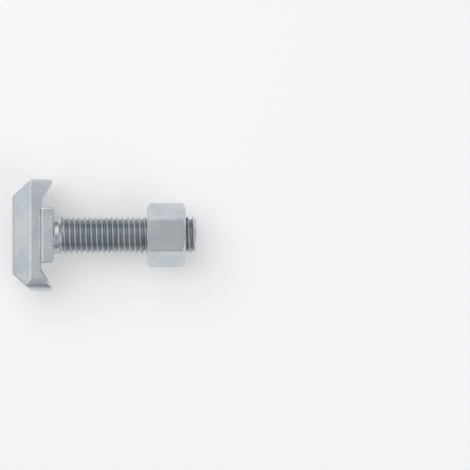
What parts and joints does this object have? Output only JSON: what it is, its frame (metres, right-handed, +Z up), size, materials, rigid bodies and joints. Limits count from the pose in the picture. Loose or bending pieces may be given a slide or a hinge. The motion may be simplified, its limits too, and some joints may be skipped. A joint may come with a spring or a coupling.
{
  "type": "t slot bolt with hexagon nut",
  "caption": "Forged hammer-head bolt for a T-slot rail, with hooked nibs under the head, a square neck, a threaded shank and a hexagon nut.",
  "frame": {"origin": "on the bolt's axis, in the plane of the head's underside", "axes": "+X along the axis to the threaded end, +Y along the head's long side, +Z up as the bolt lies on a table"},
  "size_m": [0.0593, 0.036, 0.018],
  "materials": {
    "bolt_steel": "forged, thread rolled, bright zinc plated",
    "nut_steel": "cold formed, bright zinc plated"
  },
  "bodies": {
    "bolt": {"bolt": "bolt_steel"},
    "nut": {"nut": "nut_steel"}
  },
  "joints": [
    {"name": "nut_travel", "type": "slide", "parent": "bolt", "child": "nut", "axis": [1, 0, 0], "range_m": [-0.02625, 0.01225]}
  ]
}
